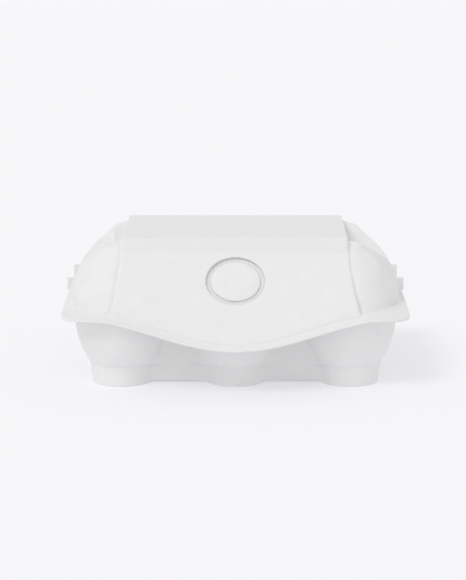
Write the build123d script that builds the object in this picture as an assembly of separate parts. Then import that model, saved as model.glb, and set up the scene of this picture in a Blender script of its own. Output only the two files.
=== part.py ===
"""Six-egg moulded carton: a two-by-three tray, a hinged lid and a press-button latch flap.

Millimetres. +Z is up, the latch faces -Y, the hinge is along +Y, and the origin is the
centre of the carton's footprint on the table.
"""

import math
import os

from build123d import *

# ---- tray --------------------------------------------------------------------------
WALL = 1.2                    # moulded wall thickness
PITCH_X = 51.5                # between cups along the carton
ROW_Y = 23.5                  # cup row from the centre line
FOOT_R = 13.5                 # foot radius on the table
FOOT_TOP_R = 15.2             # foot radius at its ledge
FOOT_H = 9.0                  # height of the foot band
LEDGE = 0.9                   # the bowl starts this far inside the foot
BOWL_TOP_R = 21.0             # bowl radius under the rim
BOWL_BULGE = 2.2              # bowl side beyond its chord
WEB_HALF_Y = 28.0             # skirt between the feet, from the centre line
WEB_HALF_X = 55.5
WEB_LIFT = 1.0                # its lower edge above the table
SADDLE_Z = 24.0               # top of the dividers between the cups
RIM_Z = 33.0                  # top face of the rim
RIM_HALF_X = 75.0
RIM_HALF_Y = 44.6
RIM_CORNER_R = 21.5
POST_H = 44.0                 # two posts between the cups
POST_BASE_R = 9.0
POST_TOP_R = 5.0

# ---- lid ---------------------------------------------------------------------------
CARTON_H = 67.0               # height of the label panel
LIP_HALF_X = 78.0
LIP_CORNER_R = 14.0
LIP_GAP = 0.4                 # lip above the rim
LIP_T = 1.2
LIP_DIP = 11.0                # how far the lip drops at the middle of the front
LIP_BULGE = 4.0               # and how far it swells forward there
DIP_HALF = 70.0               # half length of that dip
LIP_FRONT_Y = 54.0            # lip at the middle of the front, from the centre line
LIP_BACK_Y = 51.0
DOME_HALF_X = 75.2            # end domes, at the lip
DOME_HALF_Y = 46.2
DOME_CORNER_R = 22.0
DOME_SHOULDER_X = 50.0        # where an end dome leaves its ridge
DOME_TOP_Z = 65.2
DOME_END_MID = (68.0, 54.5)   # the end wall's arc passes here, in X and Z
RIDGE_Y = 25.0                # crest of each dome from the centre line
DOME_MID = (34.0, 50.0)       # a dome's front wall passes here, in Y and Z
VALLEY_MID_Y = 13.0           # half-way up the valley's side
VALLEY_RISE = 5.0             # and its height above the bottom of the valley there
VALLEY_Z = 51.0               # bottom of the valley between front and back domes
PANEL_HALF_TOP = 50.2         # label panel, half width at the top
PANEL_HALF_LIP = 57.5         # and low down, beside the lip
PANEL_SIDE_LOW_Z = 27.0       # its sides curve out down to here
FOLD_Y = 28.0                 # panel's folds from the centre line
COVE_H = 7.0                  # steep band under each fold
COVE_RUN = 1.0
PANEL_RUN = 0.65              # run over fall of the front and back panels
PANEL_SIDE_BOW = 1.5          # the panel's sides curve in by this much
SKIRT_Z = 20.0                # walls are built down to here before the lip trims them

# ---- rear hinge --------------------------------------------------------------------
HINGE_Y = 54.0                # fold line
HINGE_Z = 32.0
TRAY_LEAF_HALF = 82.0
LID_LEAF_HALF = 78.6
LEAF_H = 6.0
TRAY_LEAF_STEP = 8.0          # the ledge is this much shorter than the leaf at each end
LID_LEAF_STEP = 4.0
FOLD_GAP = 0.25               # each leaf stops this far from the fold line

# ---- latch -------------------------------------------------------------------------
HOLE_Z = 48.7                 # centre of the latch hole, up the carton
HOLE_HALF_X = 13.2
HOLE_HALF_S = 11.4            # half height, measured up the panel
HOLE_CUT = 6.0                # cutter's reach each side of the panel's face
BUTTON_GAP = 2.0              # ring between the hole and the button
BUTTON_PLINTH = 0.9
BUTTON_CROWN = 0.7
BUTTON_SHOULDER = 3.0         # the crown is this much smaller all round
FLAP_HALF = 38.0
FLAP_T = 1.1
FLAP_CORNER_R = 9.0
FLAP_CLEAR = 0.5              # flap face to the lid's inner face
FLAP_FOOT_Z = 33.5
FLAP_TOP_Z = 59.0

# ---- worked-out values -------------------------------------------------------------
LIP_Z = RIM_Z + LIP_GAP
COVE_Z = CARTON_H - COVE_H
SLOPE = math.atan2(1.0, PANEL_RUN)                      # panel above the horizon
NORMAL = Vector(0, -math.sin(SLOPE), math.cos(SLOPE))
FAR = 120.0                                             # beyond any face, for cutters


def panel_y(z, inset=0.0):
    """Y of the front panel's outer face at height z, or of a face inset behind it."""
    return -(FOLD_Y + COVE_RUN + (COVE_Z - z) * PANEL_RUN) + inset / math.sin(SLOPE)


def lip_drop(x):
    """Share of the lip's dip at a distance x from the middle, 1 at the middle."""
    return (1 + math.cos(math.pi * min(abs(x) / DIP_HALF, 1.0))) / 2


def cups():
    """Centres of the six cups."""
    return [(i * PITCH_X, j * ROW_Y) for i in (-1, 0, 1) for j in (-1, 1)]


def yz_prism(edges, half_x):
    """A closed outline in Y and Z, extruded to both sides of the YZ plane."""
    face = Pos(-half_x, 0, 0) * make_face([Plane.YZ * e for e in edges])
    return extrude(face, 2 * half_x, dir=(1, 0, 0))


def xz_prism(edges, near_y, far_y):
    """A closed outline in X and Z, extruded from near_y to far_y."""
    plane = Plane(origin=(0, near_y, 0), x_dir=(1, 0, 0), z_dir=(0, -1, 0))
    return extrude(make_face([plane * e for e in edges]), far_y - near_y, dir=(0, 1, 0))


def box(x0, x1, y0, y1, z0, z1):
    """An axis-aligned block between two corners."""
    return Pos((x0 + x1) / 2, (y0 + y1) / 2, (z0 + z1) / 2) * Box(x1 - x0, y1 - y0, z1 - z0)


# ---- tray --------------------------------------------------------------------------
def bowl_mid(r0, z0, r1, z1):
    """Middle point of a bowl's arc, swelling outward from its chord."""
    length = math.hypot(r1 - r0, z1 - z0)
    return ((r0 + r1) / 2 + BOWL_BULGE * (z1 - z0) / length,
            (z0 + z1) / 2 - BOWL_BULGE * (r1 - r0) / length)


def cup(inset, collar):
    """A solid of revolution: foot band, ledge, bowl and a straight collar above the rim."""
    foot, ledge, bowl = FOOT_R - inset, FOOT_TOP_R - inset, FOOT_TOP_R - LEDGE - inset
    low, high = (bowl, FOOT_H + inset / 3), (BOWL_TOP_R - inset, RIM_Z)
    points = [(0, inset), (foot, inset), (ledge, FOOT_H - inset / 4), low]
    edges = Polyline(points) + ThreePointArc(low, bowl_mid(*low, *high), high)
    edges += Polyline([high, (0, RIM_Z), (0, inset)])
    bowl = revolve(Plane.XZ * make_face(edges.edges()), Axis.Z)
    if collar:
        bowl += Pos(0, 0, RIM_Z + collar / 2) * Cylinder(high[0], collar)
    return bowl


def all_cups(inset, collar=0.0):
    one = cup(inset, collar)
    return [Pos(x, y, 0) * one for x, y in cups()]


def post(inset):
    """A post between four cups."""
    height = POST_H - inset - (SADDLE_Z - WALL)
    cone = Cone(POST_BASE_R - inset, POST_TOP_R - inset, height)
    return Pos(0, 0, SADDLE_Z - WALL + height / 2) * cone


def make_tray():
    outer = all_cups(0)
    web = box(-WEB_HALF_X, WEB_HALF_X, -WEB_HALF_Y, WEB_HALF_Y, WEB_LIFT, SADDLE_Z)
    in_x, in_y = WEB_HALF_X - WALL, WEB_HALF_Y - WALL
    hollow = box(-in_x, in_x, -in_y, in_y, -1, SADDLE_Z - WALL)
    for one in outer:
        hollow -= one
    tray = web - hollow
    for one in outer:
        tray += one
    rim = extrude(RectangleRounded(2 * RIM_HALF_X, 2 * RIM_HALF_Y, RIM_CORNER_R), WALL)
    tray += Pos(0, 0, RIM_Z - WALL) * rim
    tray -= box(-in_x, in_x, -in_y, in_y, SADDLE_Z, RIM_Z + 1)
    for one in all_cups(WALL, 1.0):
        tray -= one
    for side in (-1, 1):
        tray += Pos(side * PITCH_X / 2, 0, 0) * post(0)
        tray -= Pos(side * PITCH_X / 2, 0, 0) * post(WALL)
    return tray


# ---- lid ---------------------------------------------------------------------------
def panel_block(inset):
    """The raised label panel and the walls under it, as a solid block."""
    y_top, z_top = FOLD_Y - inset / 2, CARTON_H - inset
    y_cove, low = -panel_y(COVE_Z, inset), SKIRT_Z
    y_low = -panel_y(low, inset)
    points = [(-y_low, low), (-y_cove, COVE_Z), (-y_top, z_top), (y_top, z_top),
              (y_cove, COVE_Z), (-panel_y(LIP_Z, inset), LIP_Z), (-panel_y(LIP_Z, inset), low)]
    block = yz_prism(Polyline(points, close=True).edges(), FAR)
    top, lip = PANEL_HALF_TOP - inset, PANEL_HALF_LIP - inset
    middle = (top + lip) / 2 - PANEL_SIDE_BOW
    middle_z, side_z = (z_top + PANEL_SIDE_LOW_Z) / 2, PANEL_SIDE_LOW_Z
    sides = ThreePointArc((top, z_top), (middle, middle_z), (lip, side_z))
    sides += Polyline([(lip, side_z), (lip, low), (-lip, low), (-lip, side_z)])
    sides += ThreePointArc((-lip, side_z), (-middle, middle_z), (-top, z_top))
    sides += Line((-top, z_top), (top, z_top))
    return block & xz_prism(sides.edges(), -FAR, FAR)


def dome_block(inset):
    """The two-humped body under the panel, rounded off at both ends."""
    y_low, mid = DOME_HALF_Y - inset, (DOME_MID[0] - inset, DOME_MID[1])
    ridge, valley = (RIDGE_Y, DOME_TOP_Z - inset), (0, VALLEY_Z - inset)
    side = (VALLEY_MID_Y, VALLEY_Z + VALLEY_RISE - inset)
    hump = ThreePointArc((-y_low, LIP_Z), (-mid[0], mid[1]), (-ridge[0], ridge[1]))
    hump += ThreePointArc((-ridge[0], ridge[1]), (-side[0], side[1]), valley)
    hump += ThreePointArc(valley, side, ridge)
    hump += ThreePointArc(ridge, mid, (y_low, LIP_Z))
    hump += Polyline([(y_low, LIP_Z), (y_low, SKIRT_Z), (-y_low, SKIRT_Z), (-y_low, LIP_Z)])
    body = yz_prism(hump.edges(), FAR)
    top, wide = DOME_TOP_Z - inset, DOME_HALF_X - inset
    mid = (DOME_END_MID[0] - inset, DOME_END_MID[1] - inset)
    ends = ThreePointArc((DOME_SHOULDER_X, top), mid, (wide, LIP_Z))
    ends += Polyline([(wide, LIP_Z), (wide, SKIRT_Z), (-wide, SKIRT_Z), (-wide, LIP_Z)])
    ends += ThreePointArc((-wide, LIP_Z), (-mid[0], mid[1]), (-DOME_SHOULDER_X, top))
    ends += Line((-DOME_SHOULDER_X, top), (DOME_SHOULDER_X, top))
    body &= xz_prism(ends.edges(), -FAR, FAR)
    plan = RectangleRounded(2 * wide, 2 * y_low, DOME_CORNER_R - inset)
    return body & extrude(plan, FAR, dir=(0, 0, 1))


def lip_curve(rise):
    """The dipping lower edge of the lid, in X and Z, raised by rise."""
    steps = [i * DIP_HALF / 5 for i in range(-5, 6)]
    points = [(x, LIP_Z - LIP_DIP * lip_drop(x) + rise) for x in steps]
    return Spline(points, tangents=[(1, 0), (1, 0)])


def above_lip(rise, top_z):
    """Everything above the lid's lower edge raised by rise, and below top_z."""
    z = LIP_Z + rise
    edges = lip_curve(rise).edges()
    edges += Polyline([(DIP_HALF, z), (FAR, z), (FAR, top_z), (-FAR, top_z), (-FAR, z), (-DIP_HALF, z)]).edges()
    front = xz_prism(edges, -FAR, 0)
    return front + box(-FAR, FAR, 0, FAR, z, top_z)


def lip_plan():
    """The lip's outline: square at the back, swelling forward at the middle of the front."""
    corner_y = LIP_FRONT_Y - LIP_BULGE
    steps = [i * (LIP_HALF_X - LIP_CORNER_R) / 4 for i in range(-4, 5)]
    front = Spline([(x, -corner_y - LIP_BULGE * lip_drop(x)) for x in steps], tangents=[(1, 0), (1, 0)])
    start, end = front @ 0, front @ 1
    turn = LIP_CORNER_R * (1 - math.sqrt(0.5))
    right, back = LIP_HALF_X, LIP_BACK_Y
    edges = front.edges()
    edges += ThreePointArc(end, (right - turn, end.Y + turn), (right, end.Y + LIP_CORNER_R)).edges()
    edges += Polyline([(right, end.Y + LIP_CORNER_R), (right, back), (-right, back),
                       (-right, start.Y + LIP_CORNER_R)]).edges()
    edges += ThreePointArc((-right, start.Y + LIP_CORNER_R), (-right + turn, start.Y + turn), start).edges()
    return make_face(edges)


def on_panel(behind):
    """A plane square to the front panel, centred on the latch hole and this far behind its face."""
    centre = Vector(0, panel_y(HOLE_Z), HOLE_Z) - NORMAL * behind
    return Plane(origin=centre, x_dir=(1, 0, 0), z_dir=NORMAL)


def make_lid():
    outer = panel_block(0) + dome_block(0)
    inner = panel_block(WALL) + dome_block(WALL)
    lip = extrude(lip_plan(), FAR, dir=(0, 0, 1)) & (above_lip(0, FAR) - above_lip(LIP_T, FAR + 1))
    lid = (outer & above_lip(0, FAR)) + lip - inner
    return lid - on_panel(0) * extrude(Ellipse(HOLE_HALF_X, HOLE_HALF_S), HOLE_CUT, both=True)


# ---- hinge leaves ------------------------------------------------------------------
def make_tray_leaf():
    """The tray's hinge leaf: a ledge off the rim, turned down along the fold line."""
    top = HINGE_Z - FOLD_GAP
    ledge_half = TRAY_LEAF_HALF - TRAY_LEAF_STEP
    ledge = box(-ledge_half, ledge_half, RIM_HALF_Y, HINGE_Y, top - WALL, top)
    return ledge + box(-TRAY_LEAF_HALF, TRAY_LEAF_HALF, HINGE_Y - WALL, HINGE_Y, top - LEAF_H, top)


def make_lid_leaf():
    """The lid's hinge leaf: a ledge off the lip, turned up along the fold line."""
    bottom = HINGE_Z + FOLD_GAP
    ledge_half = LID_LEAF_HALF - LID_LEAF_STEP
    ledge = box(-ledge_half, ledge_half, LIP_BACK_Y, HINGE_Y, LIP_Z, LIP_Z + WALL)
    return ledge + box(-LID_LEAF_HALF, LID_LEAF_HALF, HINGE_Y - WALL, HINGE_Y, bottom, bottom + LEAF_H)


# ---- latch -------------------------------------------------------------------------
def make_flap():
    """A flat flap standing inside the lid's front panel."""
    face, back = WALL + FLAP_CLEAR, WALL + FLAP_CLEAR + FLAP_T
    points = [(panel_y(FLAP_FOOT_Z, face), FLAP_FOOT_Z), (panel_y(FLAP_TOP_Z, face), FLAP_TOP_Z),
              (panel_y(FLAP_TOP_Z, back), FLAP_TOP_Z), (panel_y(FLAP_FOOT_Z, back), FLAP_FOOT_Z)]
    flap = yz_prism(Polyline(points, close=True).edges(), FLAP_HALF)
    height = 2 * (FLAP_TOP_Z - FLAP_FOOT_Z)
    outline = RectangleRounded(2 * FLAP_HALF, height, FLAP_CORNER_R)
    return flap & extrude(Pos(0, 0, FLAP_FOOT_Z) * Rot(90, 0, 0) * outline, FAR, both=True)


def make_button():
    """The latch button: a plinth on the flap with a low crown."""
    plane = on_panel(WALL + FLAP_CLEAR)
    half_x, half_s = HOLE_HALF_X - BUTTON_GAP, HOLE_HALF_S - BUTTON_GAP
    plinth = extrude(plane * Ellipse(half_x, half_s), BUTTON_PLINTH)
    top = plane.offset(BUTTON_PLINTH)
    low = top * Ellipse(half_x, half_s)
    high = top.offset(BUTTON_CROWN) * Ellipse(half_x - BUTTON_SHOULDER, half_s - BUTTON_SHOULDER)
    return plinth + loft([low.faces()[0], high.faces()[0]])


def main():
    os.makedirs("parts", exist_ok=True)
    pieces = {
        "tray": make_tray(),
        "tray_hinge_leaf": make_tray_leaf(),
        "lid": make_lid(),
        "lid_hinge_leaf": make_lid_leaf(),
        "latch_flap": make_flap(),
        "latch_button": make_button(),
    }
    for name, piece in pieces.items():
        export_step(piece, f"parts/{name}.step")


main()
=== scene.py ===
"""A white moulded egg carton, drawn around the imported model. Sizes are in millimetres unless noted."""

import math

import bmesh
import bpy
import numpy as np
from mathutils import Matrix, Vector


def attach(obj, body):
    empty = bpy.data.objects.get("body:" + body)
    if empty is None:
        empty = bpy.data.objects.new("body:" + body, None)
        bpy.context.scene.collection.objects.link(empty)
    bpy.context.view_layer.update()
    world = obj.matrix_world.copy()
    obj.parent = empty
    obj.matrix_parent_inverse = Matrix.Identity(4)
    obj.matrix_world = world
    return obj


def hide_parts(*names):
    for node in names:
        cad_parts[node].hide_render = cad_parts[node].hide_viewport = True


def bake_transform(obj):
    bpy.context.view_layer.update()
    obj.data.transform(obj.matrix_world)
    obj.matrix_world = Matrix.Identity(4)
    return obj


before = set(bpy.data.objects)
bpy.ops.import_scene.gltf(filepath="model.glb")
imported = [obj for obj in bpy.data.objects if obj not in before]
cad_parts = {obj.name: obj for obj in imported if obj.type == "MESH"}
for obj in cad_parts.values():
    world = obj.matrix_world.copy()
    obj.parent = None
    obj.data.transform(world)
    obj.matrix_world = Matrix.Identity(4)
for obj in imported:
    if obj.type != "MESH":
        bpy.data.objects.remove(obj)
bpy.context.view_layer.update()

MM = 0.001

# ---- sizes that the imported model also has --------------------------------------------
CUP_PITCH, CUP_ROW_Y = 51.5, 23.5
FOOT_R, FOOT_TOP_R, FOOT_H, LEDGE = 13.5, 15.2, 9.0, 0.9
BOWL_TOP_R, BOWL_BULGE = 21.0, 2.2
WEB_Y, WEB_LIFT = 28.0, 1.0
RIM_Z, LIP_Z, LIP_T = 33.0, 33.4, 1.2
LIP_DIP, DIP_HALF = 11.0, 70.0
DOME_BASE_Y, DOME_BASE_X, DOME_CORNER_R = 46.2, 75.2, 22.0
DOME_MID, DOME_END_MID = (34.0, 50.0), (68.0, 54.5)
RIDGE_Y, DOME_TOP_Z, DOME_SHOULDER_X = 25.0, 65.2, 50.0
PANEL_SIDE = ((50.2, 67.0), (52.35, 47.0), (57.5, 27.0))
HINGE_Y, HINGE_Z = 54.0, 32.0

# ---- how the fibre is moulded ----------------------------------------------------------
SHELL_VOXEL = 0.5             # the big mouldings are resampled this finely
SMALL_VOXEL = 0.35
MOST_FACES = 190000           # triangles kept on one piece
WAVE, WAVE_LENGTH = 0.03, 23.0  # unevenness of dried fibre
SKIRT_FILLET = 12.0           # this, plus SKIRT_LEAST, is the radius where a skirt flows into a foot
SKIRT_T, SKIRT_TOP = 1.3, 32.4  # it reaches up under the rim
SKIRT_PROUD = 0.1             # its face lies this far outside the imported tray's skirt
SKIRT_STEPS, SKIRT_ROWS = 14, 31
END_SKIRT_X, END_SKIRT_HALF, END_SKIRT_LOW = 55.6, 4.0, 22.0  # a flat skirt between the two end cups
SKIRT_LEAST, SKIRT_FADE = 1.0, (-2.0, 9.0)  # only this is left above, from these heights over a foot
SKIRT_OVERLAP, SKIRT_SINK = 1.0, 0.3  # the skirt runs this far into the cup, and lies this far under it
ROUND_BASE_Y = 42.5           # the domes swell out from here, at the lip
ROUND_MID = (35.0, 49.0)
ROUND_FROM_Y = 4.0            # a dome's plan is an oval from here outward
ROUND_EASE, ROUND_FADE = 0.30, (45.0, 58.0)  # this share of the oval is lost between these heights
ROUND_ENDS = (4.0, 12.0)      # the oval is full where a dome reaches the second, and gone at the first
ROUND_LEAST = 3.0             # a dome is never taken to reach less than this beyond the panel
ABOVE_LIP = 0.8               # reshaping of the domes fades in over this height above the lip
SIDE_FADE, DOME_START = (0.3, 0.9), 0.6  # and over this width beside the panel, where a dome starts
FOOT_TRIM = 0.7               # the top of a foot is drawn in by this much
TRIM_TOP, TRIM_REACH = 0.5, (2.5, 5.0)  # the trim ends this far above the foot, and this far from its wall
LIP_LOWER, LIP_FORWARD = 2.0, 1.3  # the middle of the lip hangs this much lower and further out
LIP_BAND = 4.0                # the lowered part reaches this far above the lip
LIP_SLOPE = 0.20              # fall of the lip per millimetre outward
SLOPE_Y, SLOPE_FADE = 30.0, 10.0  # it stops here at the back, and fades in over this
BEAD_H, BEAD_OUT, BEAD_FADE = 1.3, 0.9, 0.5  # the lip's edge stands out: height, width, soft top
LIP_GROOVE, LIP_GROOVE_UP, LIP_GROOVE_W = 0.45, 0.9, 0.45  # crease above the bead: depth, height, width
BEAD_DIP, GROOVE_DIP = 0.5, 0.2  # shares of the dip at which bead and crease are at full size
EDGE_GROOVE, EDGE_GROOVE_W = 0.7, 0.9  # crease beside the label panel
EDGE_GROOVE_FADE = 4.0        # it fades in over this, outward from the ridge
STRIP_COLUMNS, STRIP_ROWS = 40, 16  # faces along and across a strip of fibre at a fold
STRIP_T, STRIP_PROUD = 0.6, 0.2  # the living hinge's thickness, and how far it stands out
STRIP_REACH, FOLD_BAND = 2.4, 0.6  # its reach each side of the fold, and the part that bends
HINGE_STRIP_HALF, LATCH_STRIP_HALF = 77.5, 36.0
LATCH_STRIP_LOW, LATCH_STRIP_HIGH = (-42.3, 32.4), (-42.8, 35.1)  # Y and Z of its two edges
TRAY_LEAF_JOIN, LID_LEAF_JOIN = (45.2, 46.4), (51.0, 52.0)  # a leaf's inner edge, in Y
LEAF_LAP = 0.8                # it runs this far into its moulding


# ---- materials ---------------------------------------------------------------------------
def add(nodes, kind, **inputs):
    node = nodes.new(kind)
    for key, value in inputs.items():
        node.inputs[key].default_value = value
    return node


def pulp_material():
    """Matte white moulded fibre: faint mottling, sparse flecks and a felted surface."""
    mat = bpy.data.materials.new("moulded_pulp")
    mat.use_nodes = True
    nodes, links = mat.node_tree.nodes, mat.node_tree.links
    shader = nodes["Principled BSDF"]
    shader.inputs["Specular IOR Level"].default_value = 0.25
    shader.inputs["Sheen Weight"].default_value = 0.06
    shader.inputs["Sheen Roughness"].default_value = 0.6
    where = nodes.new("ShaderNodeTexCoord").outputs["Object"]

    mottle = add(nodes, "ShaderNodeTexNoise", Scale=160.0, Detail=5.0, Roughness=0.6)
    fleck = add(nodes, "ShaderNodeTexNoise", Scale=950.0, Detail=2.0, Roughness=0.5)
    fibre = add(nodes, "ShaderNodeTexNoise", Scale=1500.0, Detail=4.0, Roughness=0.7, Distortion=1.4)
    dimple = add(nodes, "ShaderNodeTexNoise", Scale=420.0, Detail=3.0, Roughness=0.55)
    for texture in (mottle, fleck, fibre, dimple):
        links.new(where, texture.inputs["Vector"])

    tint = nodes.new("ShaderNodeValToRGB")
    tint.color_ramp.elements[0].position = 0.3
    tint.color_ramp.elements[0].color = (0.826, 0.826, 0.829, 1)
    tint.color_ramp.elements[1].position = 0.7
    tint.color_ramp.elements[1].color = (0.850, 0.850, 0.849, 1)
    links.new(mottle.outputs["Fac"], tint.inputs["Fac"])

    spots = nodes.new("ShaderNodeValToRGB")
    spots.color_ramp.elements[0].position = 0.24
    spots.color_ramp.elements[0].color = (0.95, 0.945, 0.935, 1)
    spots.color_ramp.elements[1].position = 0.34
    spots.color_ramp.elements[1].color = (1, 1, 1, 1)
    links.new(fleck.outputs["Fac"], spots.inputs["Fac"])

    colour = nodes.new("ShaderNodeMix")
    colour.data_type = "RGBA"
    colour.blend_type = "MULTIPLY"
    colour.inputs["Factor"].default_value = 1.0
    links.new(tint.outputs["Color"], colour.inputs["A"])
    links.new(spots.outputs["Color"], colour.inputs["B"])
    links.new(colour.outputs["Result"], shader.inputs["Base Color"])

    rough = add(nodes, "ShaderNodeMapRange")
    rough.inputs["To Min"].default_value = 0.72
    rough.inputs["To Max"].default_value = 0.92
    links.new(dimple.outputs["Fac"], rough.inputs["Value"])
    links.new(rough.outputs["Result"], shader.inputs["Roughness"])

    broad = add(nodes, "ShaderNodeBump", Strength=0.18, Distance=0.0002)
    fine = add(nodes, "ShaderNodeBump", Strength=0.22, Distance=0.00008)
    links.new(dimple.outputs["Fac"], broad.inputs["Height"])
    links.new(fibre.outputs["Fac"], fine.inputs["Height"])
    links.new(broad.outputs["Normal"], fine.inputs["Normal"])
    links.new(fine.outputs["Normal"], shader.inputs["Normal"])
    return mat


def plain_material(name, colour, roughness, glow):
    mat = bpy.data.materials.new(name)
    mat.use_nodes = True
    shader = mat.node_tree.nodes["Principled BSDF"]
    shader.inputs["Base Color"].default_value = (*colour, 1)
    shader.inputs["Roughness"].default_value = roughness
    shader.inputs["Emission Color"].default_value = (*colour, 1)
    shader.inputs["Emission Strength"].default_value = glow / max(colour)
    return mat


# ---- mesh work -----------------------------------------------------------------------------
def coordinates(mesh):
    co = np.empty(len(mesh.vertices) * 3)
    mesh.vertices.foreach_get("co", co)
    return co.reshape(-1, 3) / MM


def set_coordinates(mesh, co):
    mesh.vertices.foreach_set("co", (co * MM).ravel())
    mesh.update()


def baked(obj):
    """Turns the object's modifiers into its own mesh."""
    bpy.context.view_layer.update()
    seen = obj.evaluated_get(bpy.context.evaluated_depsgraph_get())
    obj.data = bpy.data.meshes.new_from_object(seen)
    obj.modifiers.clear()


def lip_dip(x):
    """Share of the lip's dip at x, 1 at the middle of the front."""
    return (1 + np.cos(np.pi * np.minimum(np.abs(x) / DIP_HALF, 1))) / 2


def arc(z, low, middle, high):
    """The first coordinate, at height z, of the arc through three points. Each is (coordinate, height)."""
    (ax, ay), (bx, by), (cx, cy) = low, middle, high
    d = 2 * (ax * (by - cy) + bx * (cy - ay) + cx * (ay - by))
    a2, b2, c2 = ax * ax + ay * ay, bx * bx + by * by, cx * cx + cy * cy
    ux = (a2 * (by - cy) + b2 * (cy - ay) + c2 * (ay - by)) / d
    uy = (a2 * (cx - bx) + b2 * (ax - cx) + c2 * (bx - ax)) / d
    radius = math.hypot(ax - ux, ay - uy)
    return ux + math.copysign(1, bx - ux) * np.sqrt(np.maximum(radius**2 - (z - uy) ** 2, 0))


def ramp(value, start, end):
    t = np.clip((value - start) / (end - start), 0, 1)
    return t * t * (3 - 2 * t)


def corner_share(start, out_x, out_y):
    """How far out a point is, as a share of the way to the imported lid's rounded corner, or 0 elsewhere."""
    centre_x, centre_y = DOME_BASE_X - DOME_CORNER_R, DOME_BASE_Y - DOME_CORNER_R
    from_x, from_y = start - centre_x, ROUND_FROM_Y - centre_y
    a = np.maximum(out_x**2 + out_y**2, 1e-6)
    b = out_x * from_x + out_y * from_y
    c = from_x**2 + from_y**2 - DOME_CORNER_R**2
    t = (-b + np.sqrt(np.maximum(b * b - a * c, 0))) / a
    in_corner = (start + t * out_x > centre_x) & (ROUND_FROM_Y + t * out_y > centre_y)
    return np.where(in_corner, 1 / np.maximum(t, 1e-3), 0)


def shape_tray(co):
    """Draws the top of each foot in, so that the bowl runs down into it over a fine ledge."""
    x, y, z = co.T.copy()
    near_x = np.clip(np.round(x / CUP_PITCH), -1, 1) * CUP_PITCH
    near_y = np.sign(y) * CUP_ROW_Y
    away = np.maximum(np.hypot(x - near_x, y - near_y), 1e-6)
    share = np.clip(z / FOOT_H, 0, 1) * (1 - ramp(z, FOOT_H, FOOT_H + TRIM_TOP))
    share *= 1 - ramp(np.abs(away - FOOT_R), *TRIM_REACH)
    co[:, 0] -= FOOT_TRIM * share * (x - near_x) / away
    co[:, 1] -= FOOT_TRIM * share * (y - near_y) / away


def shape_lid(co):
    x, y, z = co.T.copy()
    above = ramp(z, LIP_Z + LIP_T, LIP_Z + LIP_T + ABOVE_LIP)
    oval = shape_domes(co, x, y, z, above)
    shape_lip(co, x, y, z, above, oval)


def shape_domes(co, x, y, z, above):
    """Swells the end domes and rounds them in plan. Gives how far out each point is, 1 on the oval."""
    height = np.clip(z, LIP_Z, DOME_TOP_Z)
    ridge = (RIDGE_Y, DOME_TOP_Z)
    boxy = arc(height, (DOME_BASE_Y, LIP_Z), DOME_MID, ridge)
    swollen = arc(height, (ROUND_BASE_Y, LIP_Z), ROUND_MID, ridge)
    side = arc(np.clip(z, PANEL_SIDE[2][1], PANEL_SIDE[0][1]), PANEL_SIDE[2], PANEL_SIDE[1], PANEL_SIDE[0])
    beyond = above * ramp(np.abs(x), side + SIDE_FADE[0], side + SIDE_FADE[1])

    end = arc(height, (DOME_BASE_X, LIP_Z), DOME_END_MID, (DOME_SHOULDER_X, DOME_TOP_Z))
    start = side + DOME_START
    reach = np.maximum(end - start, ROUND_LEAST)
    rounded = beyond * (1 - ROUND_EASE * ramp(z, *ROUND_FADE)) * ramp(end - start, *ROUND_ENDS)
    out_x, out_y = np.maximum(np.abs(x) - start, 0), np.maximum(np.abs(y) - ROUND_FROM_Y, 0)
    u, v = out_x / reach, out_y / (boxy - ROUND_FROM_Y)
    share = np.maximum(np.maximum(u, v), corner_share(start, out_x, out_y))
    oval = np.maximum(np.hypot(u, v), 1e-6)
    round_x = start + reach * u * share / oval
    round_y = ROUND_FROM_Y + (swollen - ROUND_FROM_Y) * v * share / oval
    plain_y = np.where(out_y > 0, ROUND_FROM_Y + (swollen - ROUND_FROM_Y) * v, np.abs(y))
    round_y = np.where(out_y > 0, round_y, np.abs(y))
    round_x = np.where(out_x > 0, round_x, np.abs(x))
    beside = np.exp(-(((np.abs(x) - side - EDGE_GROOVE_W) / EDGE_GROOVE_W) ** 2))
    crease = EDGE_GROOVE * beside * ramp(np.abs(y), RIDGE_Y, RIDGE_Y + EDGE_GROOVE_FADE)
    new_y = np.abs(y) + (plain_y - crease - np.abs(y)) * beyond + (round_y - plain_y) * rounded
    co[:, 0] = np.sign(x) * (np.abs(x) + (round_x - np.abs(x)) * rounded)
    co[:, 1] = np.sign(y) * new_y
    return oval


def shape_lip(co, x, y, z, above, oval):
    """Slopes the lip, lowers its middle at the front, and gives it a bead with a crease above."""
    past = np.maximum(oval - 1, 0) * (DOME_BASE_X - PANEL_SIDE[2][0])
    ahead = np.clip((SLOPE_Y - y) / SLOPE_FADE, 0, 1) * (1 - lip_dip(x) * (y < 0))
    co[:, 2] -= LIP_SLOPE * past * ahead * (1 - above)
    dip = lip_dip(x) * (y < -CUP_ROW_Y)
    edge = LIP_Z - LIP_DIP * dip
    top = LIP_Z + LIP_BAND
    low = dip * np.clip((top - z) / np.maximum(top - edge, 1), 0, 1)
    bead = ramp(dip, 0, BEAD_DIP) * (1 - ramp(z, edge + BEAD_H, edge + BEAD_H + BEAD_FADE))
    groove = np.exp(-(((z - edge - BEAD_H - LIP_GROOVE_UP) / LIP_GROOVE_W) ** 2)) * ramp(dip, 0, GROOVE_DIP)
    co[:, 1] -= LIP_FORWARD * low + BEAD_OUT * bead - LIP_GROOVE * groove
    co[:, 2] -= LIP_LOWER * low


def lap(co, inner, outer):
    """Carries a leaf's inner edge into the moulding it grows out of."""
    co[:, 1] -= LEAF_LAP * (1 - ramp(co[:, 1], inner, outer))


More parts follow.
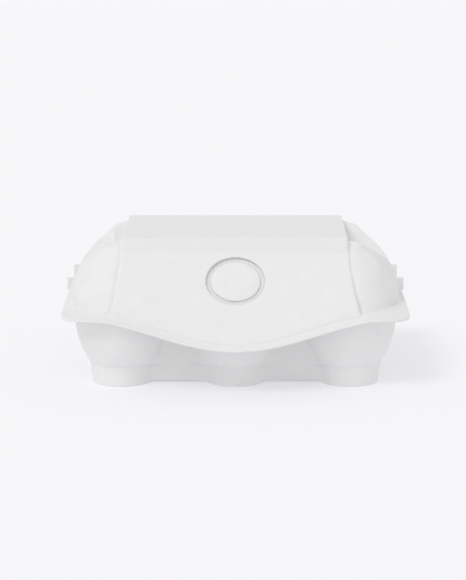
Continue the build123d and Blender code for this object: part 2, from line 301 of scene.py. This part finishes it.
def cup_radius(z):
    if z < FOOT_H:
        return FOOT_R + (FOOT_TOP_R - FOOT_R) * z / FOOT_H
    t = (z - FOOT_H) / (RIM_Z - FOOT_H)
    low = FOOT_TOP_R - LEDGE
    return low + (BOWL_TOP_R - low) * t + BOWL_BULGE * 4 * t * (1 - t)


def skirt_section(z):
    """X from the middle of a gap between two cups, and Y, of the skirt's outer face at height z."""
    radius, half = cup_radius(z), CUP_PITCH / 2
    out = WEB_Y - CUP_ROW_Y
    size = SKIRT_FILLET * (1 - ramp(z, FOOT_H + SKIRT_FADE[0], FOOT_H + SKIRT_FADE[1])) + SKIRT_LEAST
    fillet = min(size, (half**2 + out**2 - radius**2) / (2 * (radius - out)))
    centre = math.sqrt((radius + fillet) ** 2 - (fillet + out) ** 2)
    touch = centre * radius / (radius + fillet) - SKIRT_OVERLAP
    points = []
    for n in range(SKIRT_STEPS + 1):
        s = touch + (half - touch) * n / SKIRT_STEPS
        if s < touch + SKIRT_OVERLAP:
            y = CUP_ROW_Y + math.sqrt(radius**2 - s**2) - SKIRT_SINK
        elif s < centre:
            y = WEB_Y + fillet - math.sqrt(fillet**2 - (centre - s) ** 2)
        else:
            y = WEB_Y
        points.append((half - s, y + SKIRT_PROUD))
    return [(-x, y) for x, y in points] + [(x, y) for x, y in points[-2::-1]]


def add_skirts(obj):
    """Curved skirts between neighbouring feet and a flat one at each end, for the resampling to join."""
    bm = bmesh.new()
    bm.from_mesh(obj.data)
    heights = [WEB_LIFT + (SKIRT_TOP - WEB_LIFT) * n / SKIRT_ROWS for n in range(SKIRT_ROWS + 1)]
    sections = [skirt_section(z) for z in heights]
    for middle in (-CUP_PITCH / 2, CUP_PITCH / 2):
        for side in (-1, 1):
            sheet_between(bm, [
                [[(middle + x, side * (y - back), z) for x, y in row] for row, z in zip(sections, heights)]
                for back in (0, SKIRT_T)
            ])
    across, up = (-END_SKIRT_HALF, END_SKIRT_HALF), (END_SKIRT_LOW, SKIRT_TOP)
    for side in (-1, 1):
        sheet_between(bm, [
            [[(side * x, y, z) for y in across] for z in up]
            for x in (END_SKIRT_X, END_SKIRT_X - SKIRT_T)
        ])
    bm.to_mesh(obj.data)
    bm.free()


def sheet_between(bm, sides):
    """A closed sheet between two grids of points, given in rows."""
    near, far = [[[bm.verts.new(Vector(p) * MM) for p in row] for row in side] for side in sides]
    rows, columns = len(near) - 1, len(near[0]) - 1
    new = []
    for grid in (near, far):
        for r in range(rows):
            for c in range(columns):
                new.append(bm.faces.new((grid[r][c], grid[r][c + 1], grid[r + 1][c + 1], grid[r + 1][c])))
    for r in (0, rows):
        for c in range(columns):
            new.append(bm.faces.new((near[r][c], near[r][c + 1], far[r][c + 1], far[r][c])))
    for c in (0, columns):
        for r in range(rows):
            new.append(bm.faces.new((near[r][c], near[r + 1][c], far[r + 1][c], far[r][c])))
    bmesh.ops.recalc_face_normals(bm, faces=new)


def uneven(obj):
    """A very slight waviness, as drying leaves."""
    mesh = obj.data
    co = coordinates(mesh)
    normals = np.empty(len(co) * 3)
    mesh.vertex_normals.foreach_get("vector", normals)
    a, b, c = (co * (2 * math.pi / WAVE_LENGTH)).T
    wave = np.sin(a + 1.3 * np.sin(b)) * np.cos(b + 0.7 * np.sin(c)) + 0.5 * np.sin(1.7 * c + a)
    set_coordinates(mesh, co + normals.reshape(-1, 3) * (WAVE * wave)[:, None])


def moulded(node, name, body, voxel, smoothing, before=None, shape=None):
    """A CAD node's form as moulded fibre: rounded edges, thin walls and slight unevenness."""
    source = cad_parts[node]
    obj = bpy.data.objects.new(name, source.data.copy())
    bpy.context.scene.collection.objects.link(obj)
    obj.data.transform(source.matrix_world)
    if before:
        before(obj)
    remesh = obj.modifiers.new("resample", "REMESH")
    remesh.mode = "VOXEL"
    remesh.voxel_size = voxel * MM
    smooth = obj.modifiers.new("soften", "SMOOTH")
    smooth.factor = 0.5
    smooth.iterations = smoothing
    baked(obj)
    if shape:
        co = coordinates(obj.data)
        shape(co)
        set_coordinates(obj.data, co)
    uneven(obj)
    faces = 2 * len(obj.data.polygons)
    if faces > MOST_FACES:
        thin = obj.modifiers.new("thin", "DECIMATE")
        thin.ratio = MOST_FACES / faces
        baked(obj)
    finish_piece(obj)
    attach(obj, body)
    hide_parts(node)
    return obj


def finish_piece(obj):
    obj.data.materials.clear()
    obj.data.materials.append(PULP)
    obj.data.polygons.foreach_set("use_smooth", [True] * len(obj.data.polygons))


def fold_strip(name, half, path, thick):
    """A thin strip of fibre across a fold line. path is its run in Y and Z."""
    sides = ([], [])
    for n, (y, z) in enumerate(path):
        before, after = path[max(n - 1, 0)], path[min(n + 1, len(path) - 1)]
        run = Vector((after[0] - before[0], after[1] - before[1])).normalized()
        for k, side in enumerate(sides):
            at = (y - run.y * thick * k, z + run.x * thick * k)
            side.append([(half * (2 * c / STRIP_COLUMNS - 1), *at) for c in range(STRIP_COLUMNS + 1)])
    bm = bmesh.new()
    sheet_between(bm, sides)
    mesh = bpy.data.meshes.new(name)
    bm.to_mesh(mesh)
    bm.free()
    obj = bpy.data.objects.new(name, mesh)
    bpy.context.scene.collection.objects.link(obj)
    finish_piece(obj)
    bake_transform(obj)
    return obj


# ---- pieces ----------------------------------------------------------------------------------
PULP = pulp_material()


def make_carton():
    moulded("tray", "tray_moulding", "tray", SHELL_VOXEL, 2, add_skirts, shape_tray)
    moulded("lid", "lid_moulding", "lid", SHELL_VOXEL, 1, shape=shape_lid)
    moulded("tray_hinge_leaf", "tray_leaf", "tray", SMALL_VOXEL, 2, shape=lambda co: lap(co, *TRAY_LEAF_JOIN))
    moulded("lid_hinge_leaf", "lid_leaf", "lid", SMALL_VOXEL, 2, shape=lambda co: lap(co, *LID_LEAF_JOIN))
    moulded("latch_flap", "flap", "latch", SMALL_VOXEL, 2)
    moulded("latch_button", "button", "latch", SMALL_VOXEL, 2)


def make_folds():
    """The living hinge at the back and the fold under the latch flap."""
    back = [
        (HINGE_Y - STRIP_T + STRIP_PROUD, HINGE_Z + STRIP_REACH * (2 * n / STRIP_ROWS - 1))
        for n in range(STRIP_ROWS + 1)
    ]
    fold_strip("hinge_fold", HINGE_STRIP_HALF, back, -STRIP_T)
    (low_y, low_z), (high_y, high_z) = LATCH_STRIP_LOW, LATCH_STRIP_HIGH
    front = []
    for n in range(STRIP_ROWS + 1):
        t = n / STRIP_ROWS
        front.append((low_y + (high_y - low_y) * math.sin(t * math.pi / 2), low_z + (high_z - low_z) * t))
    fold_strip("latch_fold_strip", LATCH_STRIP_HALF, front, -STRIP_T)


# ---- studio ------------------------------------------------------------------------------------
def make_studio():
    mesh = bpy.data.meshes.new("floor")
    far = 12.0  # metres
    mesh.from_pydata([(-far, -far, 0), (far, -far, 0), (far, far, 0), (-far, far, 0)], [], [(0, 1, 2, 3)])
    floor = bpy.data.objects.new("floor", mesh)
    bpy.context.scene.collection.objects.link(floor)
    mesh.materials.append(plain_material("floor", (0.57, 0.57, 0.578), 0.9, 0.385))

    world = bpy.data.worlds.new("studio")
    world.use_nodes = True
    sky = world.node_tree.nodes["Background"]
    sky.inputs["Color"].default_value = (1.0, 1.0, 1.01, 1)
    sky.inputs["Strength"].default_value = 0.76
    bpy.context.scene.world = world

    light = bpy.data.lights.new("key", "SUN")
    light.energy = 0.72
    light.angle = math.radians(24)
    key = bpy.data.objects.new("key", light)
    key.rotation_euler = Vector((-0.44, -0.50, 0.75)).to_track_quat("Z", "Y").to_euler()
    bpy.context.scene.collection.objects.link(key)


def make_camera():
    elevation, distance, target_z = math.radians(12.0), 1.009, 0.0368  # the last two in metres
    data = bpy.data.cameras.new("camera")
    data.lens = 135.2
    data.sensor_width = 36.0
    data.shift_x = -0.0043
    camera = bpy.data.objects.new("camera", data)
    out = Vector((0, -math.cos(elevation), math.sin(elevation)))
    camera.location = Vector((0, 0, target_z)) + out * distance
    camera.rotation_euler = out.to_track_quat("Z", "Y").to_euler()
    bpy.context.scene.collection.objects.link(camera)
    bpy.context.scene.camera = camera


bpy.context.scene.view_settings.view_transform = "Standard"
make_carton()
make_folds()
make_studio()
make_camera()
